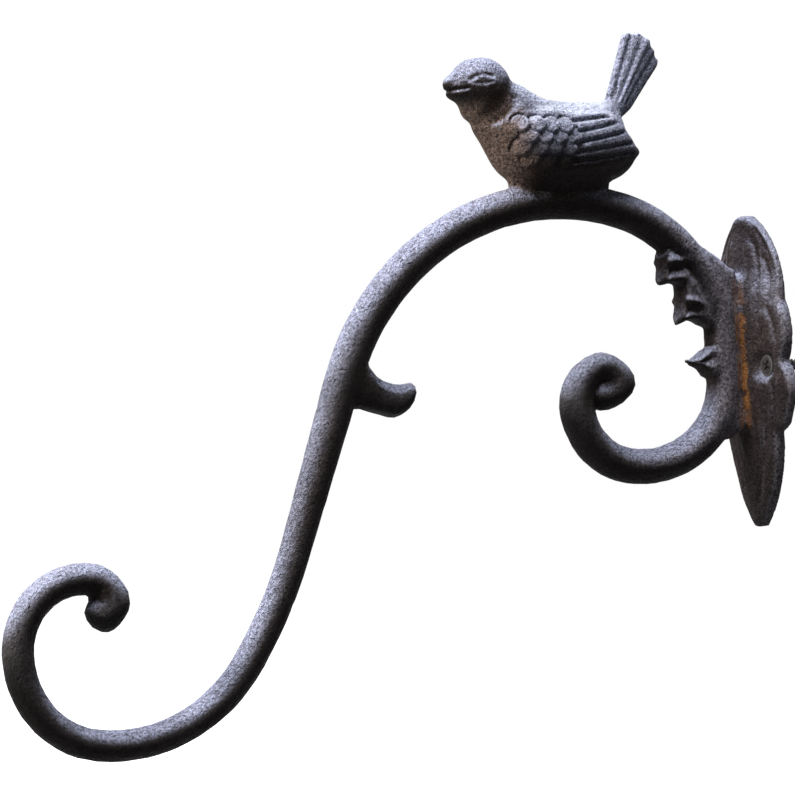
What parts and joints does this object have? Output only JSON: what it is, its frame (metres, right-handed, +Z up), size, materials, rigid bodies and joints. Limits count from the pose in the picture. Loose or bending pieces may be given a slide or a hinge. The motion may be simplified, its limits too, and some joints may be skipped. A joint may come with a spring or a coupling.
{
  "type": "wall hook",
  "caption": "Cast iron wall hook: a scrolled bar arches from a leaf-shaped wall plate and carries a perched bird on top, for hanging a basket or lantern.",
  "frame": {"origin": "middle of the wall plate's flat back face, in the wall's surface", "axes": "+X out from the wall along the arm's projection, +Z up, Y across the plate; the casting is symmetric about Y = 0"},
  "size_m": [0.3326, 0.0532, 0.2459],
  "materials": {
    "iron": "dark brown-black sand-cast iron, pitted grain, greyish sheen on top, orange rust in the corner at the plate",
    "screw_metal": "blackened steel, dull"
  },
  "bodies": {
    "root": {"hook_casting": "iron", "wall_screws": "screw_metal"}
  },
  "joints": []
}
